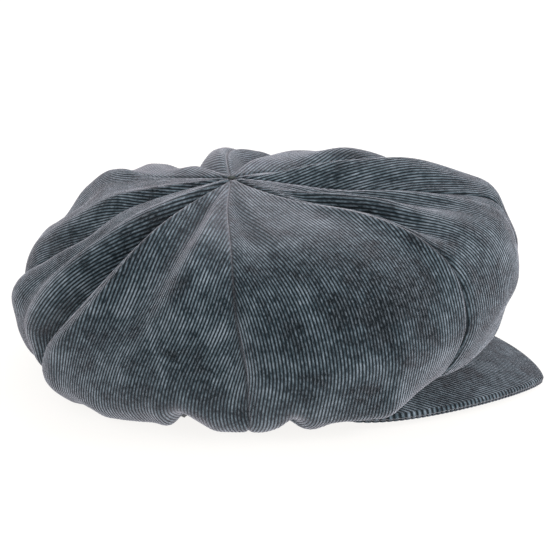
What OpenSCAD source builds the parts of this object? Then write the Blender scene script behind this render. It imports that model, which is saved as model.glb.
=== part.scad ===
// Eight-panel newsboy cap in fine-wale corduroy, lying on its band on a flat surface.
// Millimetres. +X points to the visor, +Z is up, Z = 0 is the surface the cap lies on.
// The crown is a set of eight sewn gores lofted through seven rings; every ring is given by
// where it crosses the front, the back and the side of the cap. The head opening is centred
// on the origin.

/* [Nodes] */
// Every separate piece of the cap.
// Which piece is drawn.

/* [Head opening] */
// Half the length of the band, outside, front to back.
band_a = 102; // [92:1:112]
// Half the width of the band, outside.
band_b = 84; // [74:1:94]
// Height of the band's lower edge above the surface at the sides and the back.
band_low = 7; // [2:1:15]
// How much further the lower edge is lifted at the front by the arched visor.
band_front_lift = 6; // [0:0.5:12]
// Height of the band's upper edge, where the crown is sewn on.
band_top = 34; // [28:1:45]

/* [Cloth] */
// Thickness of the corduroy.
cord_t = 1.3; // [0.8:0.1:2]
// Thickness of the lining cloth.
lining_t = 0.5; // [0.3:0.1:1]
// Distance from the outer face of the corduroy to the outer face of the lining.
lining_drop = 2.0; // [1.7:0.1:4]
// Thickness of the stiff strip inside the band.
interfacing_t = 0.6; // [0.4:0.1:1.2]
// Thickness of the sweatband.
sweat_t = 0.8; // [0.5:0.1:1.5]
// Space left between neighbouring layers and neighbouring panels.
gap = 0.3; // [0.2:0.05:0.5]
// How far the middle of a crown panel stands out from its seams.
puff = 5; // [0:0.5:10]

/* [Crown] */
// Where the eight panels meet, behind the middle of the head opening.
apex_x = -25; // [-40:1:0]
// Height of that point.
apex_z = 111; // [90:1:130]
// Height of the fullest ring at the front, which stands higher than the back.
full_front_z = 68; // [50:1:80]
// Furthest the crown reaches over the visor.
full_front_x = 138; // [125:1:150]
// Furthest the crown reaches behind the head opening.
full_back_x = 151.5; // [125:0.5:160]
// Half the width of the crown at its fullest.
full_side_y = 125; // [110:1:140]
// How far the soft crown has been pulled round on its band, in degrees.
crown_turn = 9; // [-20:1:20]

/* [Visor] */
// Distance from the middle of the head opening to the tip of the visor.
visor_tip_x = 154.5; // [140:0.5:170]
// Half the width of the visor where it is widest.
visor_half = 90; // [65:1:95]
// How far forward of the middle of the opening the visor's ends are.
visor_root_x = 56; // [40:1:70]
// Radius of the visor's side-to-side arch.
visor_arch_r = 220; // [90:5:300]
// Slope of the visor down toward its tip.
visor_pitch = 13.9; // [0:0.1:30]
// Height of the visor's upper face at the front middle of the band.
visor_seam_z = 17.5; // [10:0.5:25]
// Thickness of the stiff board in the visor.
board_t = 1.6; // [1:0.1:3]
// Thickness of the cloth on the visor's underside.
under_t = 1.0; // [0.6:0.1:1.6]

/* [Thread] */
// Diameter of the sewing thread.
thread_d = 0.5; // [0.3:0.1:0.8]
// Length of one stitch.
stitch_l = 2.6; // [2:0.1:4]

/* [Hidden] */
// How round the visor's outline is toward its tip and toward its sides.
rim_front = 1.4;
rim_side = 1.45;
// The visor bends at this x, in degrees up and down; room left over it besides.
visor_flex_x = 80;
visor_up = 10.2;
visor_down = 4.2;
visor_room = 1.6;
// Rings from the apex down to the band: x at the front, x at the back, y at the side,
// z at the front, z at the side, z at the back.
RINGS = [
  [apex_x, apex_x, 0, apex_z, apex_z, apex_z],
  [28, -70, 48, apex_z + 2, apex_z - 1, apex_z - 4],
  [82, -106, 94, apex_z + 3, apex_z - 9, apex_z - 13],
  [full_front_x - 14, 12 - full_back_x, full_side_y - 6, apex_z - 8, apex_z - 33, apex_z - 34],
  [full_front_x, -full_back_x, full_side_y, full_front_z, 46, 44],
  [full_front_x - 9, 7 - full_back_x, full_side_y - 12, 37, 16.5, 16.5],
  [band_a + 12, -band_a - 16, band_b + 13, 26, 4, 4],
  [band_a + 2.4, -band_a - 2.4, band_b + 2.4, band_top, band_top, band_top]];
ring_last = len(RINGS) - 1;
// Where the eight seams leave the front middle, in degrees, every 0.15 of the way from the
// apex down to the band; the panels are not quite alike because the crown has slumped.
SEAMS = [
  [2, 52, 93, 113, 160, 203, 258, 310, 362],
  [4, 44, 93, 117, 162, 205, 260, 311, 364],
  [4, 40, 94, 124, 167, 212, 265, 314, 364],
  [2, 40, 94, 130, 176, 220, 269, 316, 362],
  [0, 40, 92, 143, 183, 226, 271, 316, 360],
  [0, 41, 91, 149, 186, 227, 271, 316, 360],
  [0, 44, 91, 146, 185, 226, 270, 315, 360],
  [0, 46, 91, 142, 184, 225, 270, 315, 360]];
// Grid of one panel: steps across and steps from the apex to the band.
nu = 10;
nt = 18;
eps = 0.004;

// One value of a ring table, carried smoothly through the rings.
function rr(i, c) = i < 0 ? 2 * RINGS[0][c] - RINGS[1][c]
  : i > ring_last ? 2 * RINGS[ring_last][c] - RINGS[ring_last - 1][c] : RINGS[i][c];
function spline(a, b, c, d, f) = 0.5 * (2 * b + (c - a) * f + (2 * a - 5 * b + 4 * c - d) * f * f
  + (3 * b - a - 3 * c + d) * f * f * f);
function ring(t, c) = let (s = t * ring_last, i = min(floor(s), ring_last - 1), f = s - i)
  spline(rr(i - 1, c), rr(i, c), rr(i + 1, c), rr(i + 2, c), f);
// Direction of a line w seams round from the front.
function seam_at(i, t) = let (s = min(max(t, 0), 1) / 0.15, j = min(floor(s), 6), f = s - j,
    b = SEAMS[j][i], c = SEAMS[j + 1][i], a = j > 0 ? SEAMS[j - 1][i] : 2 * b - c,
    d = j < 6 ? SEAMS[j + 2][i] : 2 * c - b)
  spline(a, b, c, d, f);
function seam_angle(w, t) = let (i = min(floor(w), 7), f = w - i)
  seam_at(i, t) + f * (seam_at(i + 1, t) - seam_at(i, t));
function sstep(x, a, b) = let (s = min(max((x - a) / (b - a), 0), 1)) s * s * (3 - 2 * s);
// The crown without its puffs: w runs round it in panels, t from the apex to the band. Its
// turn on the band fades out toward the seam, and near the band it stays lifted further
// round over the visor's ends.
function bare(w, t) = let (a = seam_angle((w + 8) % 8, t), xf = ring(t, 0), xb = ring(t, 1),
    cf = max(cos(a), 0), cb = max(-cos(a), 0), zs = ring(t, 4),
    x = (xf + xb) / 2 + (xf - xb) / 2 * cos(a), y = -ring(t, 2) * sin(a),
    turn = crown_turn * (1 - sstep(t, 0.72, 1)))
  [x * cos(turn) - y * sin(turn), x * sin(turn) + y * cos(turn),
    zs + (ring(t, 3) - zs) * pow(cf, 2 - 0.9 * sstep(t, 0.6, 0.85)) + (ring(t, 5) - zs) * cb * cb];
function unit(v) = v / norm(v);
function bare_normal(w, t) = let (t1 = max(t, 0.02))
  unit(cross(bare(w, t1 + eps) - bare(w, t1 - eps), bare(w - eps, t1) - bare(w + eps, t1)));
// Height of the puff: nothing at the seams, the apex and the band.
function swell(w, t) = let (f = w - floor(w))
  (pow(sin(180 * f), 0.8) * puff - puff / 2) * pow(sin(180 * min(t * 1.06, 1)), 0.7);
// Height of the visor's upper face over x, y.
function visor_face(x, y) = let (sag = sqrt(max(pow(visor_arch_r, 2) - y * y, 0)) - visor_arch_r)
  visor_seam_z + sag * cos(visor_pitch)
    - (x - band_a - sag * sin(visor_pitch)) * tan(visor_pitch);
// Lowest the cloth may hang there, so that the visor can tilt about its seam.
function over_visor(x, y) = visor_face(x, y) + visor_room
  + max((x - visor_flex_x) * tan(visor_up), (visor_flex_x - x) * tan(visor_down));
// How much of that holds at x, y: all of it over the visor, fading out past its rim.
function near_visor(x, y) = sstep(x, visor_root_x - 10, visor_root_x - 3)
  * (1 - sstep(pow(max(x - visor_root_x, 0) / (visor_tip_x - visor_root_x), 2 / rim_front)
    + pow(abs(y) / visor_half, 2 / rim_side), 1.10, 1.45));
// A point of the crown's cloth, lifted softly off the visor where it would hang too low.
function off_visor(p, drop) = let (y = min(max(p.y, -120), 120), low = over_visor(p.x, y) + drop,
    over = (p.z - low) / 1.5)
  over > 30 ? p
    : [p.x, p.y, p.z + (low + 1.5 * ln(1 + exp(over)) - p.z) * near_visor(p.x, y)];
function skin(w, t, drop) =
  off_visor(bare(w, t) + bare_normal(w, t) * (swell(w, t) - drop), drop);
// Half the space left at a seam, as a share of a panel.
function seam_share(t) = gap / 2 / max(3, 0.75 * ring(t, 2));
function panel_w(k, i, t) = let (g = seam_share(t)) k + g + (1 - 2 * g) * i / nu;
function panel_t(j, start) = start + (1 - start) * j / nt;

// A closed sheet from two grids of points, each (a + 1) x (b + 1).
module sheet_solid(top, bottom, a, b) {
  n = (a + 1) * (b + 1);
  quads = [for (i = [0 : a - 1], j = [0 : b - 1])
    let (p = i * (b + 1) + j) [p, p + 1, p + b + 2, p + b + 1]];
  rim = concat([for (j = [0 : b - 1]) [j, j + 1]],
    [for (i = [0 : a - 1]) [i * (b + 1) + b, (i + 1) * (b + 1) + b]],
    [for (j = [b : -1 : 1]) [a * (b + 1) + j, a * (b + 1) + j - 1]],
    [for (i = [a : -1 : 1]) [i * (b + 1), (i - 1) * (b + 1)]]);
  faces = concat([for (q = quads) [q[0], q[1], q[2]]], [for (q = quads) [q[0], q[2], q[3]]],
    [for (q = quads) [n + q[2], n + q[1], n + q[0]]],
    [for (q = quads) [n + q[3], n + q[2], n + q[0]]],
    [for (e = rim) [e[1], e[0], n + e[0]]], [for (e = rim) [e[1], n + e[0], n + e[1]]]);
  polyhedron(points = concat(top, bottom), faces = faces, convexity = 8);
}

// Panel k of the crown or of the lining: a sheet between two depths under the skin.
module gore(k, drop, thick, start) {
  top = [for (i = [0 : nu], j = [0 : nt])
    let (t = panel_t(j, start)) skin(panel_w(k, i, t), t, drop)];
  bottom = [for (i = [0 : nu], j = [0 : nt])
    let (t = panel_t(j, start)) skin(panel_w(k, i, t), t, drop + thick)];
  sheet_solid(top, bottom, nu, nt);
}

// Lower edge of the band at an angle from the front middle.
function band_low_z(a) = band_low + band_front_lift * max(cos(a), 0);
// A loop or strip standing on the band's ellipse, from depth in to depth in + thick.
module band_strip(in, thick, low, high, from, to, steps) {
  outer = [for (i = [0 : steps], j = [0, 1]) let (a = from + (to - from) * i / steps)
    [(band_a - in) * cos(a), (band_b - in) * sin(a), j == 0 ? band_low_z(a) + low : high]];
  inner = [for (i = [0 : steps], j = [0, 1]) let (a = from + (to - from) * i / steps)
    [(band_a - in - thick) * cos(a), (band_b - in - thick) * sin(a),
      j == 0 ? band_low_z(a) + low : high]];
  sheet_solid(inner, outer, steps, 1);
}

// The seam that closes a loop lies at the back; a slit the width of the gap marks it.
loop_slit = 0.12;
in_face = cord_t + gap;
in_sweat = in_face + interfacing_t + gap;

module crown_panel(k) {
  color([0.29, 0.33, 0.37]) gore(k, 0, cord_t, 0.006);
}
module lining_panel(k) {
  color([0.16, 0.17, 0.20]) gore(k, lining_drop, lining_t, 0.012);
}
module headband() {
  color([0.27, 0.31, 0.35])
    band_strip(0, cord_t, 0, band_top, loop_slit - 180, 180 - loop_slit, 96);
}
module band_interfacing() {
  color([0.85, 0.84, 0.80])
    band_strip(in_face, interfacing_t, 1, band_top - 1, loop_slit - 180, 180 - loop_slit, 96);
}
module sweatband() {
  color([0.12, 0.13, 0.15])
    band_strip(in_sweat, sweat_t, 0.5, band_top + 1, loop_slit - 180, 180 - loop_slit, 96);
}
// Blank woven label sewn inside the sweatband at the back.
module size_label() {
  color([0.82, 0.82, 0.80])
    band_strip(in_sweat + sweat_t + gap, 0.4, 9, band_low + 21, 171, 189, 8);
}

// Thread knot that draws the eight panel points together.
tack_r = 2.2;
module apex_tack() {
  color([0.17, 0.20, 0.19])
    rotate([0, 0, crown_turn]) translate([apex_x, 0, apex_z + 0.9]) {
      rotate_extrude($fn = 32) translate([tack_r, 0]) circle(d = 0.9, $fn = 12);
      for (a = [0 : 45 : 135])
        rotate([0, 90, a]) cylinder(d = 0.6, h = 2 * tack_r, center = true, $fn = 12);
    }
}

// Outline of the visor seen from above, drawn in by e at its rim; the inner edge follows
// the band.
rim_steps = 28;
function rim_pt(s, e) = [visor_root_x + (visor_tip_x - visor_root_x - e) * pow(abs(cos(s)), rim_front),
  (visor_half - e) * sign(s) * pow(abs(sin(s)), rim_side)];
function visor_outline(e, in) = concat(
  [for (i = [0 : rim_steps]) rim_pt(-90 + 180 * i / rim_steps, e)],
  [for (i = [0 : rim_steps]) let (a = 56 - 112 * i / rim_steps)
    [(band_a + in) * cos(a), (band_b + in) * sin(a)]]);

// Shell of the arched visor between two depths under its upper face.
module visor_shell(depth, thick) {
  translate([band_a, 0, visor_seam_z])
    rotate([0, visor_pitch, 0])
      translate([-90, 0, -visor_arch_r])
        rotate([0, 90, 0])
          difference() {
            cylinder(r = visor_arch_r - depth, h = 180, $fn = 180);
            translate([0, 0, -1])
              cylinder(r = visor_arch_r - depth - thick, h = 182, $fn = 180);
          }
}
module visor_layer(depth, thick, e, in) {
  intersection() {
    translate([0, 0, -20]) linear_extrude(height = 60) polygon(visor_outline(e, in));
    visor_shell(depth, thick);
  }
}
board_in = cord_t + gap;
under_in = board_in + board_t + gap;
// Room between the visor's root and the band, so the visor can tilt.
root_gap = 0.8;
module visor_top_cover() {
  color([0.27, 0.31, 0.35]) visor_layer(0, cord_t, 0, root_gap);
}
module visor_board() {
  color([0.75, 0.72, 0.66]) visor_layer(board_in, board_t, 2.5, root_gap + 1);
}
module visor_under_cover() {
  color([0.24, 0.28, 0.32]) visor_layer(under_in, under_t, 0, root_gap);
}

// Row of stitches on an ellipse at the band, lying along it.
module stitch_row(a, b, z_off, from, to, count, follow) {
  for (i = [0 : count - 1]) {
    s = from + (to - from) * i / (count - 1);
    z = follow ? band_low_z(s) + z_off : z_off;
    dir = atan2(b * cos(s), -a * sin(s));
    translate([a * cos(s), b * sin(s), z])
      rotate([0, 90, dir]) cylinder(d = thread_d, h = stitch_l, center = true, $fn = 8);
  }
}
in_stitch = in_sweat + sweat_t + thread_d / 2 + 0.1;
module visor_seam_stitches() {
  color([0.16, 0.18, 0.20])
    stitch_row(band_a - in_stitch, band_b - in_stitch, 3.5, -55, 55, 45, true);
}
module sweatband_stitches() {
  color([0.16, 0.18, 0.20])
    stitch_row(band_a - in_stitch, band_b - in_stitch, band_top - 1.5, -176, 176, 120, false);
}

crown_panel(0);  // crown_panel_1
crown_panel(1);  // crown_panel_2
crown_panel(2);  // crown_panel_3
crown_panel(3);  // crown_panel_4
crown_panel(4);  // crown_panel_5
crown_panel(5);  // crown_panel_6
crown_panel(6);  // crown_panel_7
crown_panel(7);  // crown_panel_8
lining_panel(0);  // lining_panel_1
lining_panel(1);  // lining_panel_2
lining_panel(2);  // lining_panel_3
lining_panel(3);  // lining_panel_4
lining_panel(4);  // lining_panel_5
lining_panel(5);  // lining_panel_6
lining_panel(6);  // lining_panel_7
lining_panel(7);  // lining_panel_8
headband();
band_interfacing();
sweatband();
size_label();
apex_tack();
visor_top_cover();
visor_board();
visor_under_cover();
visor_seam_stitches();
sweatband_stitches();
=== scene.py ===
"""Newsboy cap in blue-grey corduroy: the looks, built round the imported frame."""

import math

import bmesh
import bpy
import numpy as np
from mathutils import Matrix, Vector


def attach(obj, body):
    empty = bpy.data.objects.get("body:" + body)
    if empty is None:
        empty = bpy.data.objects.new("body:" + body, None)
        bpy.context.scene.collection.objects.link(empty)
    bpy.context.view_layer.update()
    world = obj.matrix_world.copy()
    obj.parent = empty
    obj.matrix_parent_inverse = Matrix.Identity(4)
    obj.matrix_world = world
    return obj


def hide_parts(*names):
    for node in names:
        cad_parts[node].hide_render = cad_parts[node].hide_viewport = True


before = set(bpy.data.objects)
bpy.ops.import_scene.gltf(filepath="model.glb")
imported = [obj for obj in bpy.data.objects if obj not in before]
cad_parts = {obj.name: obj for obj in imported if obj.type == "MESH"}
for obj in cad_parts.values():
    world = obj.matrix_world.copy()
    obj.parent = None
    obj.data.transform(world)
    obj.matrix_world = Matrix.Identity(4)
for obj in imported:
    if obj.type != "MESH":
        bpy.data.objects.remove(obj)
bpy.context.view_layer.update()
rng = np.random.default_rng(7)

MM = 0.001
PITCH = 1.86 * MM  # distance between two wales of the corduroy
TOP = 0.34 * MM  # height of a wale
WALE = [(0.0, 0.0), (0.16, 0.72), (0.38, 1.0), (0.62, 1.0), (0.84, 0.72)]  # share of the pitch, of the height
CLOTH = 1.3 * MM  # thickness of the corduroy under its wales
LOWEST = 1.0 * MM + TOP  # the crown's skin where it lies on the table
BAND_A, BAND_B, BAND_TOP = 102 * MM, 84 * MM, 34 * MM  # half length, half width, upper edge
BAND_LOW, BAND_LIFT = 7, 6  # mm: the lower edge, and how much higher it is at the front middle
LOOP = math.pi - 0.002  # half a loop's turn, its ends just clear of each other
N_ACROSS, N_DOWN = 14, 72  # grid of one panel in the soft shape
PANEL_SPAN = 0.29  # metres of weave coordinate from the apex to the band
CROWN_TURN = math.radians(9)  # the soft crown has been pulled round on its band
SETTLE_FRAMES = 24  # length of the cloth simulation


# ---------------------------------------------------------------- small mathematics
def smooth(x, a, b):
    """0 below a, 1 above b and an S curve between them."""
    s = np.clip((np.asarray(x, float) - a) / (b - a), 0, 1)
    return s * s * (3 - 2 * s)


def hump(x, middle, width):
    """A bell of height 1."""
    return np.exp(-(((np.asarray(x, float) - middle) / width) ** 2))


def spline(p, x):
    """Catmull-Rom through the rows of p at x, from 0 to len(p) - 1."""
    p = np.asarray(p, float)
    n = len(p) - 1
    x = np.clip(np.asarray(x, float), 0, n)
    i = np.minimum(x.astype(int), n - 1)
    f = (x - i).reshape(x.shape + (1,) * (p.ndim - 1))
    q = np.concatenate([2 * p[:1] - p[1:2], p, 2 * p[-1:] - p[-2:-1]])
    a, b, c, d = q[i], q[i + 1], q[i + 2], q[i + 3]
    return 0.5 * (2 * b + (c - a) * f + (2 * a - 5 * b + 4 * c - d) * f**2 + (3 * b - a - 3 * c + d) * f**3)


def on_grid(g, x, y):
    """Catmull-Rom surface through g[i, j] at the points x, y (arrays of one shape)."""
    n, m = g.shape[0] - 1, g.shape[1] - 1
    x, y = np.clip(x, 0, n), np.clip(y, 0, m)
    i, j = np.minimum(x.astype(int), n - 1), np.minimum(y.astype(int), m - 1)
    fx, fy = (x - i)[..., None], (y - j)[..., None]
    q = np.concatenate([2 * g[:1] - g[1:2], g, 2 * g[-1:] - g[-2:-1]], 0)
    q = np.concatenate([2 * q[:, :1] - q[:, 1:2], q, 2 * q[:, -1:] - q[:, -2:-1]], 1)

    def w(f):
        return (
            0.5 * (-f + 2 * f**2 - f**3),
            0.5 * (2 - 5 * f**2 + 3 * f**3),
            0.5 * (f + 4 * f**2 - 3 * f**3),
            0.5 * (-(f**2) + f**3),
        )

    wx, wy = w(fx), w(fy)
    out = 0
    for a in range(4):
        for b in range(4):
            out = out + wx[a] * wy[b] * q[i + a, j + b]
    return out


def unit(v):
    return v / np.maximum(np.linalg.norm(v, axis=-1, keepdims=True), 1e-12)


# ---------------------------------------------------------------- the crown's shape
# The CAD model's rings before its puffs, fitted to the cloth, apex to band:
# x front, x back, y side, z front, z side, z back.
RINGS = MM * np.array(
    [
        [-25, -25, 0, 111, 111, 111],
        [28, -70, 48, 113, 110, 107],
        [82, -106, 94, 114, 102, 98],
        [124, -136, 118, 103, 78, 77],
        [137, -146, 124, 68, 46, 44],
        [127, -140, 113, 37, 16, 15],
        [113, -118, 98, 26, 4, 4],
        [104.4, -104.4, 86.4, 34, 34, 34],
    ]
)
# Where the eight seams leave the front middle, in degrees, every 0.15 of the way down.
SEAMS = np.radians(
    [
        [2, 52, 93, 113, 160, 203, 258, 310, 362],
        [4, 44, 93, 117, 162, 205, 260, 311, 364],
        [4, 40, 94, 124, 167, 212, 265, 314, 364],
        [2, 40, 94, 130, 176, 220, 269, 316, 362],
        [0, 40, 92, 143, 183, 226, 271, 316, 360],
        [0, 41, 91, 149, 186, 227, 271, 316, 360],
        [0, 44, 91, 146, 185, 226, 270, 315, 360],
        [0, 46, 91, 142, 184, 225, 270, 315, 360],
    ]
)


def seam_angle(w, t):
    """The angle round the crown at w panels from the front middle and t of the way down."""
    w, t = np.broadcast_arrays(np.asarray(w, float), np.asarray(t, float))
    turn = np.floor(w / 8)
    row = spline(SEAMS, np.clip(t, 0, 1) / 0.15)
    i = np.minimum((w - 8 * turn).astype(int), 7)[..., None]
    near = np.take_along_axis(row, i, -1)[..., 0]
    far = np.take_along_axis(row, i + 1, -1)[..., 0]
    return near + (far - near) * (w - 8 * turn - i[..., 0]) + 2 * math.pi * turn


def bare(w, t):
    """The crown without its puffs and folds."""
    a = seam_angle(w, t)
    r = spline(RINGS, np.clip(t, 0, 1) * (len(RINGS) - 1))
    c, s = np.cos(a), np.sin(a)
    front, back = np.maximum(c, 0) ** (2 - 0.9 * smooth(t, 0.6, 0.85)), np.maximum(-c, 0) ** 2
    xf, xb = r[..., 0], r[..., 1]
    z = r[..., 4] + (r[..., 3] - r[..., 4]) * front + (r[..., 5] - r[..., 4]) * back
    x, y = (xf + xb) / 2 + (xf - xb) / 2 * c, -r[..., 2] * s
    turn = CROWN_TURN * (1 - smooth(t, 0.72, 1))
    return np.stack([x * np.cos(turn) - y * np.sin(turn), x * np.sin(turn) + y * np.cos(turn), z], -1)


def bare_normal(w, t):
    e = 0.004
    t = np.maximum(t, 0.02)
    return unit(np.cross(bare(w, t + e) - bare(w, t - e), bare(w - e, t) - bare(w + e, t)))


# Puff of each panel, in mm, counted round from the front middle by the near side.
PUFFS = [4.0, 4.0, 3.5, 5.0, 5.0, 5.5, 5.0, 5.0]
# Folds: height in mm (below 0 a valley), width in panels, then points (w, t) it runs through.
FOLDS = [
    # the near back seam stands up as a ridge, with a deep valley behind it
    (8.0, 0.10, [(2.97, 0.08), (2.96, 0.35), (2.97, 0.55), (3.0, 0.74)]),
    (-13.0, 0.11, [(3.16, 0.04), (3.18, 0.25), (3.18, 0.45), (3.16, 0.70)]),
    (-4.0, 0.20, [(2.60, 0.10), (2.62, 0.30), (2.62, 0.50)]),
    (3.0, 0.14, [(2.30, 0.08), (2.36, 0.25), (2.45, 0.48)]),
    (-2.5, 0.10, [(1.86, 0.05), (1.84, 0.22), (1.82, 0.36)]),
    # the near front seam is a soft crest that fades out over the visor; a dip lies behind it
    (3.5, 0.05, [(1.0, 0.14), (1.0, 0.28), (1.0, 0.42)]),
    (-7.0, 0.08, [(0.84, 0.12), (0.83, 0.26), (0.86, 0.38)]),
    (3.0, 0.09, [(0.68, 0.12), (0.62, 0.28)]),
    (-3.5, 0.15, [(0.46, 0.08), (0.42, 0.26), (0.40, 0.38)]),
    (2.5, 0.10, [(0.32, 0.16), (0.26, 0.36)]),
    (-3.5, 0.08, [(0.12, 0.08), (0.12, 0.22), (0.10, 0.40)]),
    (-1.5, 0.12, [(1.10, 0.34), (1.10, 0.50)]),
    # behind the apex
    (-6.0, 0.12, [(4.04, 0.06), (4.0, 0.3), (3.96, 0.55)]),
    (-4.0, 0.10, [(3.60, 0.25), (3.55, 0.45), (3.48, 0.66)]),
    (-7.0, 0.45, [(4.05, 0.24), (4.00, 0.50)]),
    (2.0, 0.30, [(4.70, 0.24), (4.70, 0.42)]),
    (-8.0, 0.12, [(5.68, 0.05), (5.62, 0.25), (5.52, 0.45)]),
    (5.0, 0.16, [(5.95, 0.05), (6.0, 0.24)]),
    (-6.0, 0.10, [(6.26, 0.05), (6.26, 0.28), (6.20, 0.48)]),
    (2.0, 0.20, [(6.60, 0.06), (6.62, 0.30)]),
    (-5.0, 0.12, [(7.0, 0.08), (7.02, 0.30), (7.0, 0.46)]),
    (-6.0, 0.40, [(7.15, 0.10), (7.15, 0.46)]),
    (6.0, 0.17, [(7.68, 0.08), (7.70, 0.24), (7.72, 0.33)]),
    (-4.5, 0.08, [(7.98, 0.06), (7.98, 0.22), (7.98, 0.36)]),
    # how high the far panels stand
    (-6.0, 0.14, [(4.60, 0.28), (4.60, 0.46)]),
    (5.0, 0.14, [(4.92, 0.18), (4.92, 0.36)]),
    (-6.0, 0.20, [(5.40, 0.14), (5.50, 0.32)]),
    (-3.5, 0.30, [(6.30, 0.10), (6.40, 0.34)]),
    (6.0, 0.15, [(6.84, 0.20), (6.88, 0.42)]),
    (-5.0, 0.30, [(7.70, 0.42), (7.70, 0.52)]),
    (-3.0, 0.25, [(0.42, 0.58), (0.42, 0.68)]),
    (3.5, 0.22, [(3.78, 0.46), (3.76, 0.58)]),
    (-2.0, 0.20, [(4.42, 0.32), (4.40, 0.44)]),
    # where the cloth lies lowest
    (-4.0, 0.20, [(3.38, 0.60), (3.38, 0.80)]),
    (-2.5, 0.15, [(2.45, 0.66), (2.45, 0.90)]),
    (2.0, 0.10, [(1.98, 0.70), (1.98, 0.90)]),
    (3.0, 0.12, [(1.36, 0.66), (1.36, 0.88)]),
    (4.5, 0.45, [(2.66, 0.62), (2.70, 0.94)]),
    (4.0, 0.35, [(1.40, 0.66), (1.40, 0.95)]),
    # gathers that run out of the band's seam under the overhang
    (-9.0, 0.05, [(2.26, 0.70), (2.26, 0.86), (2.26, 1.0)]),
    (-6.0, 0.045, [(1.80, 0.72), (1.80, 0.88), (1.80, 1.0)]),
    (-3.5, 0.05, [(2.76, 0.72), (2.74, 0.86), (2.74, 1.0)]),
    (-5.0, 0.05, [(1.42, 0.78), (1.40, 0.90), (1.40, 1.0)]),
    (-6.0, 0.06, [(3.42, 0.72), (3.45, 0.86), (3.45, 1.0)]),
    (-6.0, 0.06, [(4.30, 0.74), (4.32, 0.88), (4.32, 1.0)]),
    (-6.0, 0.06, [(5.35, 0.72), (5.35, 0.88), (5.35, 1.0)]),
    (-7.0, 0.06, [(6.25, 0.74), (6.25, 0.88), (6.25, 1.0)]),
    (-6.0, 0.06, [(6.75, 0.74), (6.77, 0.88), (6.77, 1.0)]),
]


def along(points, w, t):
    """Where a fold's line is at t (its w) and how far t is inside the fold's length."""
    p = np.array(points, float)
    line = np.interp(t, p[:, 1], p[:, 0])
    span = p[-1, 1] - p[0, 1]
    soft = 0.28 * span + 0.02
    begun = smooth(t, p[0, 1] - soft * 0.5, p[0, 1] + soft)
    ended = smooth(t, p[-1, 1] - soft, p[-1, 1] + soft * 0.6)
    return line, begun * (1 - ended)


def swell(w, t):
    """How far the skin stands out from the bare crown."""
    k = np.minimum(np.floor(w).astype(int), 7) % 8
    f = w - np.floor(w)
    puff = np.array(PUFFS)[k]
    arc = np.abs(np.sin(math.pi * f)) ** 0.75
    # the near front seam is drawn smooth over the visor
    calm = hump(w, 1.0, 0.34) * smooth(t, 0.36, 0.48) * (1 - smooth(t, 0.72, 0.84))
    arc = arc + (0.95 - arc) * calm
    out = (arc - 0.7) * puff * np.sin(math.pi * np.minimum(t * 1.06, 1)) ** 0.7
    for high, wide, points in FOLDS:
        line, inside = along(points, w, t)
        off = (w - line + 4) % 8 - 4
        out = out + high * np.exp(-((off / wide) ** 2)) * inside
    return out * MM


def soft_shape():
    """The crown's skin on a grid: 8 panels, N_ACROSS + 1 lines each, N_DOWN + 1 points down."""
    flatten = 4 * MM  # height over which the cloth eases onto the table
    grids = []
    for k in range(8):
        across = k + np.linspace(0, 1, N_ACROSS + 1)
        w, t = np.meshgrid(across, np.linspace(0.004, 1, N_DOWN + 1), indexing="ij")
        inner = np.clip(w, k + 1e-6, k + 1 - 1e-6)
        p = bare(w, t) + bare_normal(w, t) * swell(inner, t)[..., None]
        eased = LOWEST + flatten * np.exp((p[..., 2] - LOWEST - flatten) / flatten)
        p[..., 2] = np.where(p[..., 2] < LOWEST + flatten, eased, p[..., 2])
        grids.append(p)
    # neighbours share their seam
    for k in range(8):
        seam = (grids[k][-1] + grids[(k + 1) % 8][0]) / 2
        grids[k][-1] = grids[(k + 1) % 8][0] = seam
    return grids


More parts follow.
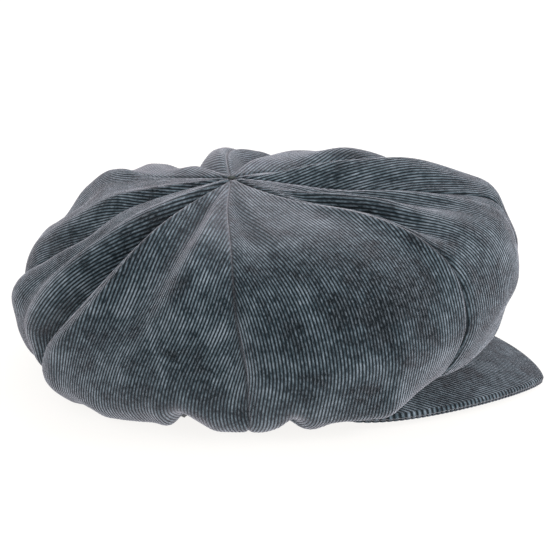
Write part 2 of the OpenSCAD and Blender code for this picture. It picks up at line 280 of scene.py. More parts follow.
def settle(grids):
    """Lets the crown hang as cloth: sewn panels in one skin, held at the tack and the band."""
    across, down = 8 * N_ACROSS, N_DOWN + 1
    skin = np.concatenate([g[:-1] for g in grids])
    verts = skin.reshape(-1, 3)
    me = bpy.data.meshes.new("crown_skin")
    me.from_pydata(verts.tolist(), [], quads(across, down, wrap=True).tolist())
    ob = bpy.data.objects.new("crown_skin", me)
    bpy.context.scene.collection.objects.link(ob)
    t = np.tile(np.linspace(0, 1, down), across)
    w = np.repeat(np.arange(across) / N_ACROSS, down)
    seam = np.abs(w - np.round(w))
    ends = (1 - smooth(t, 0.03, 0.10)) + smooth(t, 0.93, 1.0)
    hold = 0.16 + 0.84 * ends + 0.12 * np.exp(-((seam / 0.06) ** 2))
    group = ob.vertex_groups.new(name="hold")
    for i, h in enumerate(np.clip(hold, 0, 1)):
        group.add([i], float(h), "REPLACE")
    cloth = ob.modifiers.new("cloth", "CLOTH")
    c = cloth.settings
    c.quality = 5
    c.mass = 0.35
    c.tension_stiffness = c.compression_stiffness = 22
    c.shear_stiffness = 8
    c.bending_stiffness = 0.6
    c.bending_model = "ANGULAR"
    c.air_damping = 1.5
    c.vertex_group_mass = "hold"
    c.pin_stiffness = 0.5
    c.shrink_min = c.shrink_max = -0.04
    c.effector_weights.gravity = 0.1
    cloth.collision_settings.use_collision = False
    scene = bpy.context.scene
    first = scene.frame_current
    for frame_number in range(1, SETTLE_FRAMES + 1):
        scene.frame_set(frame_number)
    seen = ob.evaluated_get(bpy.context.evaluated_depsgraph_get())
    out = np.empty(len(verts) * 3)
    seen.data.vertices.foreach_get("co", out)
    out = out.reshape(across, down, 3)
    scene.frame_set(first)
    bpy.data.objects.remove(ob)
    bpy.data.meshes.remove(me)
    # the ribs of corduroy don't buckle across: only the folds that run with them are kept
    move = out - skin
    reach = 18
    span = np.arange(-reach, reach + 1)
    bell = np.exp(-((span / 6.5) ** 2) / 2)
    bell /= bell.sum()
    padded = np.pad(move, ((0, 0), (reach, reach), (0, 0)), mode="reflect", reflect_type="odd")
    move = sum(b * padded[:, reach + i : reach + i + down] for b, i in zip(bell, span))
    level = np.linspace(0, 1, down)
    free = smooth(level, 0, 0.04) * smooth(1 - level, 0, 0.04)
    out = skin + move * free[None, :, None]
    print("cloth moved the skin by", round(float(np.abs(out - skin).max()) * 1000, 1), "mm")
    out[..., 2] = np.maximum(out[..., 2], LOWEST)
    out = np.concatenate([out, out[:1]])
    return [out[k * N_ACROSS : (k + 1) * N_ACROSS + 1] for k in range(8)]


GRIDS = soft_shape()


# ---------------------------------------------------------------- meshes
def mesh_piece(name, verts, faces, attrs=None):
    """A smooth-shaded object in the scene, with its attributes on its points."""
    me = bpy.data.meshes.new(name)
    me.from_pydata(np.asarray(verts).tolist(), [], [list(map(int, f)) for f in faces])
    for key, values in (attrs or {}).items():
        values = np.asarray(values, np.float32)
        if values.ndim == 1:
            a = me.attributes.new(key, "FLOAT", "POINT")
            a.data.foreach_set("value", values)
        else:
            a = me.attributes.new(key, "FLOAT_VECTOR", "POINT")
            a.data.foreach_set("vector", values.ravel())
    me.polygons.foreach_set("use_smooth", [True] * len(me.polygons))
    me.update()
    ob = bpy.data.objects.new(name, me)
    bpy.context.scene.collection.objects.link(ob)
    return ob


def quads(n, m, first=0, flip=False, wrap=False):
    """Faces of a grid of (n, m) points stored row by row."""
    i, j = np.meshgrid(np.arange(n if wrap else n - 1), np.arange(m - 1), indexing="ij")
    a = first + i * m + j
    b = first + ((i + 1) % n) * m + j
    q = np.stack([a, b, b + 1, a + 1], -1).reshape(-1, 4)
    return q[:, ::-1] if flip else q


def closed(name, top, under, flat, flip=False):
    """A closed sheet: top is a fine grid (n, m, 3), under a grid (n, k, 3) with the same edges."""
    n, m = top.shape[:2]
    k = under.shape[1]
    v = np.concatenate([top.reshape(-1, 3), under.reshape(-1, 3)])
    o = n * m
    f = [quads(n, m, 0, flip), quads(n, k, o, not flip)]
    i = np.arange(n - 1)
    near = np.stack([i * m, o + i * k, o + (i + 1) * k, (i + 1) * m], -1)
    far = near[:, [0, 3, 2, 1]] + [m - 1, m - 1, k - 1, k - 1]
    f += [near[:, ::-1] if flip else near, far[:, ::-1] if flip else far]
    faces = np.concatenate(f).tolist()
    for edge, turn in ((0, False), (n - 1, True)):
        loop = list(range(edge * m, edge * m + m))
        loop += list(range(o + edge * k + k - 1, o + edge * k - 1, -1))
        faces.append(loop[::-1] if turn ^ flip else loop)
    ff = np.concatenate([flat.reshape(-1, 3), np.tile([[0.0, 0.0, -1.0]], (n * k, 1))])
    return mesh_piece(name, v, faces, {"flat": ff})


def edge_normal(g, column):
    """The panel's own normal along its first (0) or last (-1) line."""
    across = g[1] - g[0] if column == 0 else g[-1] - g[-2]
    return unit(np.cross(across, np.gradient(g[column], axis=0)))


def on_line(rows, y):
    """The rows of a line read at the places y along it."""
    return np.stack([np.interp(y, np.arange(len(rows)), rows[:, i]) for i in range(3)], -1)


def grid_normal(grid, x, y, e):
    """The normal of a panel's skin at x, y, from points a distance e away on the grid."""
    dx = on_grid(grid, np.minimum(x + e, N_ACROSS), y) - on_grid(grid, np.maximum(x - e, 0), y)
    dy = on_grid(grid, x, np.minimum(y + e, N_DOWN)) - on_grid(grid, x, np.maximum(y - e, 0))
    return unit(np.cross(dx, dy))


def wales(first, last):
    """Positions and heights (0 to 1) of the lines that draw the wales from first to before last."""
    us = [(c + share) * PITCH for c in range(first, last) for share, _ in WALE]
    hs = [tall for _ in range(first, last) for _, tall in WALE]
    return np.array(us), np.array(hs)


def cut_size(p, line=0):
    """The area of a surface laid flat, and its widest width and its length down one line."""
    across, down = np.diff(p, axis=0), np.diff(p, axis=1)
    area = np.linalg.norm(np.cross(across[:, :-1], down[:-1]), axis=-1).sum()
    width = np.linalg.norm(across, axis=-1).sum(0).max()
    length = np.linalg.norm(down[line], axis=-1).sum()
    return float(area), (float(width), float(length))


def gore(k, grid):
    """One corduroy panel of the crown, its wales parallel to its middle line."""
    rows, fine, shares = 220, 6 * N_ACROSS + 1, 97
    tt = np.linspace(0, N_DOWN, rows)
    fr = np.linspace(0, N_ACROSS, fine)
    x, y = np.meshgrid(fr, tt, indexing="ij")
    pts = on_grid(grid, x, y)
    step = np.linalg.norm(np.diff(pts, axis=0), axis=-1)
    arc = np.concatenate([np.zeros((1, rows)), np.cumsum(step, 0)])
    mid = arc[fine // 2]
    arc = arc - mid
    left, right = -arc[0], arc[-1]
    half = (left + right) / 2
    kernel = np.hanning(15)
    kernel /= kernel.sum()
    half = np.convolve(np.pad(half, 7, mode="reflect", reflect_type="odd"), kernel, "valid")
    peak = int(np.argmax(half))
    half[: peak + 1] = np.maximum.accumulate(half[: peak + 1])
    half[peak:] = np.maximum.accumulate(half[peak:][::-1])[::-1]
    # share across the panel for a signed share of the half width
    q = np.linspace(-1, 1, shares)
    table = np.empty((shares, rows, 1))
    for r in range(rows):
        span = np.where(q < 0, left[r], right[r])
        table[:, r, 0] = np.interp(q * span, arc[:, r], fr)
    # the wales' lines
    widest = half[peak] - 0.01 * MM
    count = int(widest / PITCH) + 1
    us, hs = wales(-count, count)
    # lines close together where the seam runs along the wales
    ends = widest - 1.3 * MM * np.linspace(0, 1, 9) ** 2
    both = np.concatenate([us[np.abs(us) < widest - 1.35 * MM], ends, -ends])
    hs = np.interp(both, us, hs)
    us = np.sort(both)
    hs = hs[np.argsort(both)]
    first, last = np.arange(peak + 1), np.arange(peak, rows)
    h0 = half[: peak + 1] + np.linspace(0, 1e-7, peak + 1)
    t_in = np.interp(np.abs(us), h0, tt[first])
    h1 = half[peak:][::-1] + np.linspace(0, 1e-7, rows - peak)
    t_out = np.interp(np.abs(us), h1, tt[last][::-1])
    t_out = np.where(np.abs(us) <= half[-1], N_DOWN, t_out)

    def face(m, lift):
        v = np.linspace(0, 1, m)
        ty = t_in[:, None] + (t_out - t_in)[:, None] * v[None]
        h = np.interp(ty, tt, half)
        q_at = np.clip(us[:, None] / np.maximum(h, 1e-6), -1, 1)
        fx = on_grid(table, (q_at + 1) * (shares - 1) / 2, ty / N_DOWN * (rows - 1))[..., 0]
        fx = np.clip(fx, 0, N_ACROSS)
        nrm = grid_normal(grid, fx, ty, 0.12)
        edge = np.maximum(h - np.abs(us)[:, None], 0)
        first_seam, last_seam = SEAM_NORMALS[k], SEAM_NORMALS[(k + 1) % 8]
        seam = np.where(us[:, None, None] < 0, on_line(first_seam, ty), on_line(last_seam, ty))
        share = np.exp(-((edge / (2.2 * MM)) ** 2))[..., None]
        nrm = unit(nrm * (1 - share) + seam * share)
        dip = np.exp(-((edge / (1.3 * MM)) ** 2))
        if lift:
            calm = smooth(edge, 0, 1.6 * MM)
            # the pile is not quite even along a wale
            ripple = np.sin(ty * 2.1 + us[:, None] * 5200 + k)
            wave = 1 + 0.10 * ripple * np.sin(ty * 0.83 + us[:, None] * 1900)
            out = hs[:, None] * TOP * calm * wave - 0.7 * MM * dip
        else:
            out = -CLOTH - 0.5 * MM * dip + 0 * ty
        flat = np.stack([us[:, None] + 0 * ty, ty / N_DOWN * PANEL_SPAN, edge], -1)
        return on_grid(grid, fx, ty) + nrm * out[..., None], flat

    top, flat = face(92, True)
    under, _ = face(46, False)
    return closed(f"crown_panel_{k + 1}", top, under, flat), cut_size(pts, fine // 2)


def strip_angle(steps):
    """The angles at the distances steps along the band's loop, and the loop's length."""
    fine = np.linspace(-LOOP, LOOP, 4001)
    x, y = BAND_A * np.cos(fine), BAND_B * np.sin(fine)
    arc = np.concatenate([[0], np.cumsum(np.hypot(np.diff(x), np.diff(y)))])
    return np.interp(steps, arc, fine), arc[-1]


def band_low(a):
    """Height of the band's lower edge at the angle a."""
    return (BAND_LOW + BAND_LIFT * np.maximum(np.cos(a), 0)) * MM


def off_band(ang, out, z):
    """Points at the height z that stand out from the band's ellipse, one row for each angle."""
    c, s = np.cos(ang)[:, None], np.sin(ang)[:, None]
    n = unit(np.stack([c / BAND_A, s / BAND_B], -1))
    return np.stack([BAND_A * c + n[..., 0] * out, BAND_B * s + n[..., 1] * out, z], -1)


def wale_lines(low, high):
    """Positions and heights (0 to 1) of the wales' lines between two cut edges, low and high."""
    us, hs = wales(int(math.floor(low / PITCH)), int(math.ceil(high / PITCH)) + 1)
    keep = (us > low + 0.05 * MM) & (us < high - 0.05 * MM)
    return np.concatenate([[low], us[keep], [high]]), np.concatenate([[0.3], hs[keep], [0.3]])


def headband():
    """The corduroy loop, its wales upright and its lower edge folded in."""
    _, length = strip_angle(np.array([0.0]))
    us, hs = wale_lines(0, length)
    ang, _ = strip_angle(us)
    low = band_low(ang)[:, None]

    def face(m, lift):
        v = np.linspace(0, 1, m)[None]
        roll = smooth(1 - v, 0.93, 1.0)
        z = BAND_TOP + (low - BAND_TOP) * (1 - v)
        uneven = 0.15 * MM * np.sin(ang * 9 + 1)[:, None] * (1 - roll)
        if lift:
            out = hs[:, None] * TOP * (1 - 0.5 * roll) - 0.55 * MM * roll + uneven
        else:
            out = -CLOTH + 0.25 * MM * roll + uneven
        return off_band(ang, out, z), np.stack([us[:, None] + 0 * z, z, 9 + 0 * z], -1)

    top, flat = face(16, True)
    under, _ = face(7, False)
    return closed("headband", top, under, flat), cut_size(under)


# ---------------------------------------------------------------- the visor
VISOR_R = 220 * MM  # its arch, side to side
PITCH_DOWN = math.radians(13.9)
SEAM_Z = 17.5 * MM  # height of its upper face at the front middle of the band
TIP_X, ROOT_X, HALF_Y = 154.5 * MM, 56 * MM, 90 * MM
RIM_R = 2.25 * MM  # half the thickness of board and covers
RIM_COS, RIM_SIN = 1.4, 1.45  # exponents of the rim's outline
ROOT_GAP = 2.3 * MM  # from the band to the root's edge
ROOT_TURN = math.radians(56)  # how far round the band the root follows it
HINGE_X = 80 * MM
TILT_UP, TILT_DOWN = 0.178, 0.072  # slopes of the visor's limits, a little over
TILT_ROOM = 1.6 * MM


def visor_point(x, y, depth):
    """The point over plan x, y at a depth under the visor's upper face, and the normal there."""
    zl = np.sqrt(VISOR_R**2 - y**2) - VISOR_R
    xl = (x - BAND_A - zl * math.sin(PITCH_DOWN)) / math.cos(PITCH_DOWN)
    n = np.stack([0 * y + 0 * x, y / VISOR_R + 0 * x, np.sqrt(1 - (y / VISOR_R) ** 2) + 0 * x], -1)
    loc = np.stack([xl, y + 0 * x, zl + 0 * x], -1) - n * np.asarray(depth)[..., None]
    c, s = math.cos(PITCH_DOWN), math.sin(PITCH_DOWN)

    def turn(v):
        return np.stack([v[..., 0] * c + v[..., 2] * s, v[..., 1], -v[..., 0] * s + v[..., 2] * c], -1)

    return turn(loc) + np.array([BAND_A, 0, SEAM_Z]), turn(n)


def rim_xy(s, inset):
    """The rim's plan outline, moved in; s is 0 at the tip and a quarter turn at the sides."""
    return (
        ROOT_X + (TIP_X - ROOT_X - inset) * np.abs(np.cos(s)) ** RIM_COS,
        (HALF_Y - inset) * np.sign(s) * np.abs(np.sin(s)) ** RIM_SIN,
    )


def visor_cover(name, upper):
    """The cloth over or under the board: wales along X, turned over the rim and at the root."""
    widest = HALF_Y - RIM_R
    arc_max = VISOR_R * math.asin(widest / VISOR_R)
    us, hs = wale_lines(-arc_max, arc_max)
    y = VISOR_R * np.sin(us / VISOR_R)
    s = np.arcsin(np.clip(np.abs(y) / widest, 0, 1) ** (1 / RIM_SIN)) * np.sign(y)
    xo, _ = rim_xy(s, RIM_R)
    a_in, b_in = BAND_A + ROOT_GAP + RIM_R, BAND_B + ROOT_GAP + RIM_R
    edge_y = b_in * math.sin(ROOT_TURN)

    def root_x(y):
        return np.where(
            np.abs(y) < edge_y,
            a_in * np.sqrt(np.maximum(1 - (y / b_in) ** 2, 0)),
            a_in * math.cos(ROOT_TURN) - (np.abs(y) - edge_y) * 0.155,
        )

    xi = root_x(y)
    xo = np.maximum(xo, xi + 0.3 * MM)
    e = 0.004
    s2 = np.clip(s, -math.pi / 2 + 2 * e, math.pi / 2 - 2 * e)
    flat0 = RIM_R + 0 * y

    def outward(x1, y1, x2, y2, normal, forward):
        edge = visor_point(x1, y1, flat0)[0] - visor_point(x2, y2, flat0)[0]
        side = unit(np.cross(edge, normal))
        return np.where((side[:, 0] * forward < -0.2)[:, None], -side, side)

    far, normal_far = visor_point(xo, y, flat0)
    near, normal_near = visor_point(xi, y, flat0)
    side_far = outward(*rim_xy(s2 + e, RIM_R), *rim_xy(s2 - e, RIM_R), normal_far, 1)
    y1, y2 = y + e / 20, y - e / 20
    side_near = outward(root_x(y1), y1, root_x(y2), y2, normal_near, -1)
    side_near = np.where(side_near[:, :1] > 0, -side_near, side_near)
    sign = 1.0 if upper else -1.0

    def face(flat_rows, arc_rows, lift):
        rows, uv = [], []
        r = RIM_R + (hs * TOP if lift else 0 * us - (CLOTH if upper else 1.0 * MM))
        bends = np.linspace(0, 1, arc_rows)
        angle = math.radians(87)

        def bend(middle, side, normal, q, x):
            tuck = 0.45 * MM * float(smooth(q, 0.75, 1.0)) if lift else 0
            al = q * angle
            out = side * ((r - tuck) * math.sin(al))[:, None]
            up = normal * sign * ((r - tuck) * math.cos(al))[:, None]
            rows.append(middle + out + up)
            along_x = x + RIM_R * al * (1 if side is side_far else -1)
            uv.append(np.stack([us, along_x, (1 - q) * 4 * MM + 0 * us], -1))

        for q in bends[::-1]:
            bend(near, side_near, normal_near, q, xi)
        for q in np.linspace(0, 1, flat_rows, endpoint=False)[1:]:
            x = xi + (xo - xi) * q
            base, n = visor_point(x, y, flat0)
            rows.append(base + n * sign * r[:, None])
            uv.append(np.stack([us, x, 0 * us + 9], -1))
        for q in bends:
            bend(far, side_far, normal_far, q, xo)
        return np.stack(rows, 1), np.stack(uv, 1)

    top, flat = face(46, 9, True)
    under, _ = face(30, 6, False)
    # laid flat, with what is turned over the rim and at the root
    turned = math.pi * RIM_R
    widths = (xo - xi)[1:] / 2 + (xo - xi)[:-1] / 2 + turned
    area = float((widths * np.diff(us)).sum())
    size = (2 * arc_max, float(xo.max() - xi.min()) + turned)
    return closed(name, top, under, flat, flip=not upper), (area, size)


def clear_visor(p):
    """Lifts the crown's underside off the visor, which has to be free to tilt."""
    x, y = p[..., 0], p[..., 1]
    top = visor_point(x, np.clip(y, -0.12, 0.12), 0 * y)[0][..., 2]
    rise = np.maximum((x - HINGE_X) * TILT_UP, (HINGE_X - x) * TILT_DOWN)
    low = top + rise + TILT_ROOM
    ahead = np.clip((x - ROOT_X) / (TIP_X - ROOT_X), 0, 2)
    shape = ahead ** (2 / RIM_COS) + np.abs(y / HALF_Y) ** (2 / RIM_SIN)
    inside = (1 - smooth(shape, 1.10, 1.45)) * smooth(x, 46 * MM, 53 * MM)
    soft = 1.5 * MM
    over = (p[..., 2] - low) / soft
    lifted = low + soft * np.log1p(np.exp(np.minimum(over, 30))) + soft * np.maximum(over - 30, 0)
    out = p.copy()
    out[..., 2] += (lifted - p[..., 2]) * inside
    return out


GRIDS = settle(GRIDS)
GRIDS = [clear_visor(g) for g in GRIDS]
SEAM_NORMALS = [unit(edge_normal(GRIDS[k - 1], -1) + edge_normal(GRIDS[k], 0)) for k in range(8)]


# ---------------------------------------------------------------- plain strips, thread
def ribbon(name, depth, thick, low, high, half_turn, n, m, middle=0.0, bulge=0.0):
    """A strip inside the band's ellipse, low being a height or a function of the angle."""
    ang = np.linspace(middle - half_turn, middle + half_turn, n)
    lo = (low(ang) if callable(low) else low + 0 * ang)[:, None]

    def face(d, sign):
        v = np.linspace(0, 1, m)[None]
        z = lo + (high - lo) * v
        edge = np.minimum(v, 1 - v) * 8
        out = -d - bulge * np.sin(math.pi * v) + sign * thick * 0.45 * (1 - np.minimum(edge, 1)) ** 2
        return off_band(ang, out + 0 * z, z), np.stack([(ang * 93 * MM)[:, None] + 0 * z, z, 0 * z], -1)

    top, flat = face(depth + thick, 1)  # the side that faces the head
    under, _ = face(depth, -1)
    return closed(name, top, under, flat, flip=True), cut_size(under)


def tubes(name, paths, radius, sides=7):
    """Round threads along each path, closed at both ends."""
    verts, faces = [], []
    for path in paths:
        p = np.asarray(path, float)
        n = len(p)
        t = unit(np.gradient(p, axis=0))
        ref = np.array([0.0, 0, 1]) if abs(t[0][2]) < 0.8 else np.array([1.0, 0, 0])
        u = unit(np.cross(t, ref))
        w = np.cross(t, u)
        first = len(verts)
        for i in range(n):
            end = math.sqrt(max(0.12, 1 - (2 * i / (n - 1) - 1) ** 6))
            for k in range(sides):
                a = 2 * math.pi * k / sides
                verts.append(p[i] + radius * end * (u[i] * math.cos(a) + w[i] * math.sin(a)))
        for i in range(n - 1):
            for k in range(sides):
                a, b = first + i * sides + k, first + i * sides + (k + 1) % sides
                faces.append([a, b, b + sides, a + sides])
        faces.append([first + k for k in range(sides)][::-1])
        faces.append([first + (n - 1) * sides + k for k in range(sides)])
    me = mesh_piece(name, verts, faces)
    bm = bmesh.new()
    bm.from_mesh(me.data)
    bmesh.ops.recalc_face_normals(bm, faces=bm.faces)
    bm.to_mesh(me.data)
    bm.free()
    return me


def lining(k, grid):
    """One lining panel, a little slack inside its crown panel."""
    n, m = 29, 73
    x, y = np.meshgrid(np.linspace(0, N_ACROSS, n), np.linspace(0, N_DOWN, m), indexing="ij")
    nrm = grid_normal(grid, x, y, 0.3)
    f = x / N_ACROSS
    side = np.exp(-((np.minimum(f, 1 - f) / 0.03) ** 2))
    slack = 0.6 * MM * np.sin(y * 0.9 + 3 * np.sin(f * 5 + k)) * np.sin(math.pi * f)
    drop = 0.5 * MM * side + slack * smooth(y, 4, 20)
    flat = np.stack([f * 0.1, y / N_DOWN * PANEL_SPAN, f], -1)
    under, over = (on_grid(grid, x, y) - nrm * (depth + drop)[..., None] for depth in (3.6 * MM, 3.1 * MM))
    return closed(f"lining_panel_{k + 1}", over, under, flat), cut_size(over, n // 2)


# ---------------------------------------------------------------- materials
def new_material(name):
    """A material, its nodes and its shader."""
    m = bpy.data.materials.new(name)
    m.use_nodes = True
    nt = m.node_tree
    nt.nodes.clear()
    out = nt.nodes.new("ShaderNodeOutputMaterial")
    p = nt.nodes.new("ShaderNodeBsdfPrincipled")
    nt.links.new(p.outputs["BSDF"], out.inputs["Surface"])
    return m, Nodes(nt), p


class Nodes:
    """Short names for the nodes the fabrics share."""

    def __init__(self, nt):
        self.nt = nt

    def node(self, kind, **values):
        n = self.nt.nodes.new(kind)
        for k, v in values.items():
            setattr(n, k, v)
        return n

    def link(self, a, b):
        self.nt.links.new(a, b)

    def value(self, op, *terms):
        n = self.node("ShaderNodeMath", operation=op)
        for i, x in enumerate(terms):
            if isinstance(x, (int, float)):
                n.inputs[i].default_value = x
            else:
                self.link(x, n.inputs[i])
        return n.outputs[0]

    def noise(self, where, scale, detail=2.0, rough=0.5, stretch=None, seed=0.0):
        if stretch is not None or seed:
            mp = self.node("ShaderNodeMapping")
            mp.inputs["Scale"].default_value = stretch or (1, 1, 1)
            mp.inputs["Location"].default_value = (seed, seed * 0.7, -seed)
            self.link(where, mp.inputs["Vector"])
            where = mp.outputs[0]
        n = self.node("ShaderNodeTexNoise")
        n.inputs["Scale"].default_value = scale
        n.inputs["Detail"].default_value = detail
        n.inputs["Roughness"].default_value = rough
        self.link(where, n.inputs["Vector"])
        return n.outputs["Fac"]

    def ramp(self, fac, stops):
        n = self.node("ShaderNodeValToRGB")
        el = n.color_ramp.elements
        while len(el) < len(stops):
            el.new(0.5)
        for e, (pos, col) in zip(el, stops):
            e.position = pos
            e.color = (*col, 1)
        self.link(fac, n.inputs[0])
        return n.outputs["Color"]

    def grey(self, fac, stops):
        return self.ramp(fac, [(p, (v, v, v)) for p, v in stops])

    def mix(self, fac, a, b, kind="MIX"):
        n = self.node("ShaderNodeMix", data_type="RGBA", blend_type=kind)
        n.clamp_factor = True
        for x, i in ((fac, 0), (a, 6), (b, 7)):
            if isinstance(x, (int, float)):
                n.inputs[i].default_value = x
            elif isinstance(x, tuple):
                n.inputs[i].default_value = (*x, 1)
            else:
                self.link(x, n.inputs[i])
        return n.outputs[2]

    def flat(self):
        """Place on the cloth laid flat: across, down and, on corduroy, the distance from a seam."""
        return self.node("ShaderNodeAttribute", attribute_name="flat").outputs["Vector"]

    def split(self, vector):
        sep = self.node("ShaderNodeSeparateXYZ")
        self.link(vector, sep.inputs[0])
        return sep.outputs

    def place(self):
        return self.node("ShaderNodeTexCoord").outputs["Object"]

    def bump(self, shader, height, strength, distance):
        b = self.node("ShaderNodeBump")
        b.inputs["Strength"].default_value = strength
        b.inputs["Distance"].default_value = distance
        self.link(height, b.inputs["Height"])
        self.link(b.outputs[0], shader.inputs["Normal"])


def corduroy(name):
    """Cut corduroy: painted shade between the wales and along the seams, pile that catches the light, its nap
    lying this way and that.
    """
    m, g, p = new_material(name)
    flat, place = g.flat(), g.place()
    across, _, from_seam = g.split(flat)
    phase = g.value("FRACT", g.value("DIVIDE", across, PITCH))
    centre = g.value("ABSOLUTE", g.value("SUBTRACT", phase, 0.5))  # 0.5 in the groove, 0 on the wale
    # painted shade: the colour goes near black in the grooves between the wales
    groove_shade = g.grey(centre, [(0.0, 0.0), (0.10, 0.04), (0.24, 0.62), (0.36, 1.0)])
    # nap brushed in patches, and fine flecks along each wale
    patch = g.noise(place, 55, 3.0, 0.55, seed=3.1)
    small = g.noise(place, 190, 3.0, 0.65, seed=1.7)
    fleck = g.noise(flat, 850, 3.0, 0.65, stretch=(1.0, 0.40, 1.0))
    nap = g.value("ADD", g.value("MULTIPLY", patch, 0.58), g.value("MULTIPLY", small, 0.42))
    # darker in a round patch on the near side, round the point 78, -93, 80 mm
    away = g.node("ShaderNodeVectorMath", operation="DISTANCE")
    g.link(place, away.inputs[0])
    away.inputs[1].default_value = (78 * MM, -93 * MM, 80 * MM)
    near_patch = g.grey(g.value("DIVIDE", away.outputs["Value"], 60 * MM), [(0.10, 1.0), (0.62, 0.0)])
    nap = g.value("SUBTRACT", nap, g.value("MULTIPLY", near_patch, 0.15))
    tone = g.ramp(
        nap,
        [
            (0.37, (0.002, 0.006, 0.009)),
            (0.46, (0.020, 0.036, 0.047)),
            (0.54, (0.066, 0.096, 0.116)),
            (0.64, (0.160, 0.198, 0.232)),
        ],
    )
    bright = g.mix(0.6, tone, (0.27, 0.320, 0.370), "ADD")
    lit = g.mix(g.grey(fleck, [(0.42, 0.0), (0.68, 0.80)]), tone, bright)
    # painted shade: near black along the panels' seams and where the covers turn round the visor's rim and
    # root
    seam = g.grey(g.value("DIVIDE", from_seam, 3 * MM), [(0.0, 0.85), (0.16, 0.55), (0.45, 0.0)])
    shade = g.value("MAXIMUM", g.value("MULTIPLY", groove_shade, 0.96), seam)
    # the near-black colour of the painted shade in the grooves and seams
    colour = g.mix(shade, lit, (0.004, 0.007, 0.009))
    g.link(colour, p.inputs["Base Color"])
    p.inputs["Roughness"].default_value = 0.95
    p.inputs["Specular IOR Level"].default_value = 0.12
    p.inputs["Sheen Weight"].default_value = 1.0
    p.inputs["Sheen Roughness"].default_value = 0.37
    p.inputs["Sheen Tint"].default_value = (0.88, 0.86, 0.96, 1)
    pile = g.noise(flat, 2600, 3.0, 0.7, stretch=(1.0, 0.45, 1.0))
    g.bump(p, g.value("ADD", pile, g.value("MULTIPLY", fleck, 0.8)), 0.7, 0.28 * MM)
    return m


def satin(name):
    """Smooth dark lining with a fine twill."""
    m, g, p = new_material(name)
    across, down, _ = g.split(g.flat())
    twill = g.value("SINE", g.value("MULTIPLY", g.value("ADD", across, down), 2 * math.pi / 0.0011))
    cloud = g.noise(g.place(), 40, 2.0, 0.5)
    colour = g.ramp(cloud, [(0.3, (0.018, 0.021, 0.027)), (0.7, (0.034, 0.038, 0.047))])
    g.link(colour, p.inputs["Base Color"])
    p.inputs["Roughness"].default_value = 0.38
    p.inputs["Anisotropic"].default_value = 0.4
    p.inputs["Sheen Weight"].default_value = 0.15
    g.bump(p, twill, 0.25, 0.08 * MM)
    return m


def grosgrain(name, colours, rib=0.9 * MM, strength=0.6):
    """Ribbed tape or woven sheet, from the colour between its ribs to the colour on them."""
    m, g, p = new_material(name)
    flat = g.flat()
    ribs = g.value("ABSOLUTE", g.value("SINE", g.value("MULTIPLY", g.split(flat)[0], math.pi / rib)))
    fibre = g.noise(flat, 3000, 2.0, 0.6, stretch=(1, 0.3, 1))
    shade = g.value("ADD", g.value("MULTIPLY", ribs, 0.6), g.value("MULTIPLY", fibre, 0.4))
    g.link(g.ramp(shade, [(0.15, colours[0]), (0.8, colours[1])]), p.inputs["Base Color"])
    p.inputs["Roughness"].default_value = 0.8
    p.inputs["Sheen Weight"].default_value = 0.2
    g.bump(p, shade, strength, 0.25 * MM)
    return m


def thread(name, colours):
    """Twisted sewing thread."""
    m, g, p = new_material(name)
    n = g.noise(g.place(), 2400, 2.0, 0.6)
    g.link(g.ramp(n, [(0.3, colours[0]), (0.7, colours[1])]), p.inputs["Base Color"])
    p.inputs["Roughness"].default_value = 0.6
    p.inputs["Sheen Weight"].default_value = 0.2
    g.bump(p, n, 0.5, 0.1 * MM)
    return m


CORD = corduroy("corduroy")
SATIN = satin("lining_satin")
SWEAT = grosgrain("sweatband_grosgrain", ((0.010, 0.012, 0.016), (0.032, 0.036, 0.044)))
STIFF = grosgrain("interfacing_weave", ((0.50, 0.49, 0.45), (0.72, 0.71, 0.67)), rib=0.7 * MM)
TAPE = grosgrain("label_tape", ((0.50, 0.50, 0.48), (0.70, 0.70, 0.68)), rib=0.5 * MM, strength=0.4)
THREAD = thread("sewing_thread", ((0.012, 0.016, 0.019), (0.030, 0.036, 0.042)))
KNOT = thread("tack_thread", ((0.010, 0.016, 0.014), (0.030, 0.042, 0.038)))
BOARD = grosgrain("visor_board_sheet", ((0.42, 0.40, 0.35), (0.52, 0.50, 0.45)), rib=2 * MM, strength=0.1)


def put(piece, node, material, body="cap"):
    """Gives a piece its material and body, and hides the CAD node it replaces."""
    piece.data.materials.append(material)
    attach(piece, body)
    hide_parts(node)


# ---------------------------------------------------------------- the pieces
for k, grid in enumerate(GRIDS):
    piece, cut = gore(k, grid)
    put(piece, f"crown_panel_{k + 1}", CORD)
    piece, cut = lining(k, grid)
    put(piece, f"lining_panel_{k + 1}", SATIN)

piece, cut = headband()
put(piece, "headband", CORD)

for name, upper in (("visor_top_cover", True), ("visor_under_cover", False)):
    piece, cut = visor_cover(name, upper)
    put(piece, name, CORD, body="visor")

# Strips inside the band: depth from its outer face, thickness, lower and upper edge, half turn.
piece, cut = ribbon(
    "band_interfacing", 1.6 * MM, 0.6 * MM, lambda a: band_low(a) + 1 * MM, 33 * MM, LOOP, 400, 8
)
put(piece, "band_interfacing", STIFF)

piece, cut = ribbon(
    "sweatband", 2.5 * MM, 0.8 * MM, lambda a: band_low(a) + 0.5 * MM, 35 * MM, LOOP, 600, 14,
    bulge=0.25 * MM,
)
put(piece, "sweatband", SWEAT)

piece, cut = ribbon(
    "size_label", 3.7 * MM, 0.4 * MM, 16 * MM, 28 * MM, math.radians(9), 60, 12, middle=math.pi
)
put(piece, "size_label", TAPE)

# Depth from the band's outer face, half a stitch's length, the thread's radius.
STITCH_IN, STITCH_HALF, THREAD_R = 3.45 * MM, 1.3 * MM, 0.24 * MM


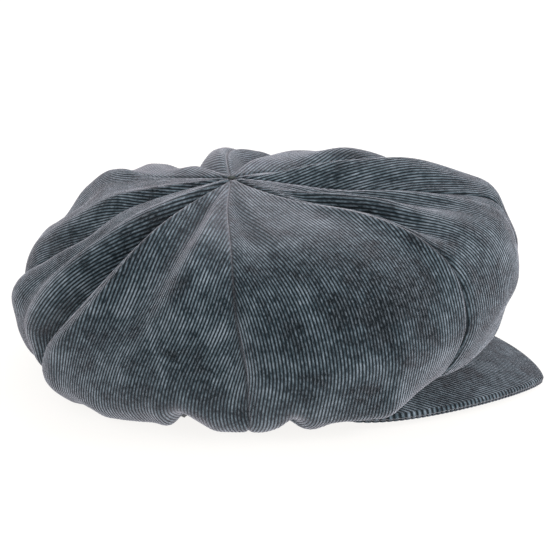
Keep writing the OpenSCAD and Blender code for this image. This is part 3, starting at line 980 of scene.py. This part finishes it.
def band_stitches(height, half_turn, count):
    """Short arched stitches inside the band, centred on the front; height is a function of the angle."""
    a, b = BAND_A - STITCH_IN, BAND_B - STITCH_IN
    out = []
    for s in np.linspace(-half_turn, half_turn, count):
        half = STITCH_HALF / math.hypot(a * math.sin(s), b * math.cos(s))
        line = []
        for q in np.linspace(-1, 1, 7):
            v = s + half * q
            lift = 0.18 * MM * (1 - q * q)
            line.append([(a - lift) * math.cos(v), (b - lift) * math.sin(v), height(v)])
        out.append(line)
    return out


for name, height, half_turn, count in (
    ("visor_seam_stitches", lambda a: float(band_low(a)) + 3.5 * MM, math.radians(55), 45),
    ("sweatband_stitches", lambda a: 32.5 * MM, math.radians(176), 120),
):
    piece = tubes(name, band_stitches(height, half_turn, count), THREAD_R)
    put(piece, name, THREAD)

# the tack: a few crossed threads pulled down into the point where the panels meet
apex = np.mean([g[:, 0].mean(0) for g in GRIDS], 0)
loops = []
for i in range(9):
    a = i * math.pi / 9 + rng.uniform(-0.12, 0.12)
    reach = rng.uniform(1.7, 2.6) * MM
    q = np.linspace(-1, 1, 11)
    up = (0.85 - 0.9 * q**2 + 0.12 * (i % 3)) * MM
    loops.append(apex + np.stack([reach * q * math.cos(a), reach * q * math.sin(a), up], -1))
put(tubes("apex_tack", loops, 0.28 * MM), "apex_tack", KNOT)

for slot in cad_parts["visor_board"].material_slots:
    slot.material = BOARD

# ---------------------------------------------------------------- floor, light, camera
bpy.ops.mesh.primitive_plane_add(size=6, location=(0, 0, -0.0004))
floor = bpy.context.object
floor.name = "floor"
m, _, p = new_material("floor_paper")
p.inputs["Base Color"].default_value = (0.16, 0.158, 0.155, 1)
p.inputs["Roughness"].default_value = 0.8
p.inputs["Emission Color"].default_value = (1.0, 0.985, 0.965, 1)
p.inputs["Emission Strength"].default_value = 0.88
floor.data.materials.append(m)

world = bpy.data.worlds.new("studio")
bpy.context.scene.world = world
world.use_nodes = True
world.node_tree.nodes["Background"].inputs[0].default_value = (1.0, 0.995, 0.985, 1)
world.node_tree.nodes["Background"].inputs[1].default_value = 0.85


def softbox(name, place, target, size, power):
    """A rectangular light at place, turned to target."""
    light = bpy.data.lights.new(name, "AREA")
    light.shape = "RECTANGLE"
    light.size, light.size_y = size
    light.energy = power
    ob = bpy.data.objects.new(name, light)
    bpy.context.scene.collection.objects.link(ob)
    ob.location = place
    ob.rotation_euler = (Vector(target) - Vector(place)).to_track_quat("-Z", "Y").to_euler()


softbox("top_light", (0.2, 0.7, 1.5), (0, 0, 0.05), (0.9, 0.9), 7)
softbox("left_light", (-1.6, -0.4, 0.9), (0, 0, 0.05), (0.7, 0.9), 5)
softbox("right_light", (1.7, 0.1, 0.8), (0, 0, 0.05), (0.6, 0.9), 20)
softbox("low_light", (0.4, -1.7, 0.3), (0, 0, 0.03), (1.2, 0.3), 5)

# Where the camera stands: round from the near side, up from level, and how far away.
AZ, EL, FAR = math.radians(12), math.radians(20), 1.3
FRAME_WIDTH = 560  # the camera's shifts are given in parts of this
back = np.array([math.sin(AZ) * math.cos(EL), -math.cos(AZ) * math.cos(EL), math.sin(EL)])
cam = bpy.data.cameras.new("camera")
cam.sensor_width = 36
cam.lens = 146.7
cam.shift_x, cam.shift_y = 4 / FRAME_WIDTH, 1 / FRAME_WIDTH
cam.clip_start = 0.05
cam_ob = bpy.data.objects.new("camera", cam)
bpy.context.scene.collection.objects.link(cam_ob)
cam_ob.location = Vector((0, 0, 0.05)) + Vector(back) * FAR
cam_ob.rotation_euler = Vector(-back).to_track_quat("-Z", "Y").to_euler()
bpy.context.scene.camera = cam_ob

bpy.context.scene.view_settings.view_transform = "Standard"
bpy.context.scene.view_settings.look = "None"
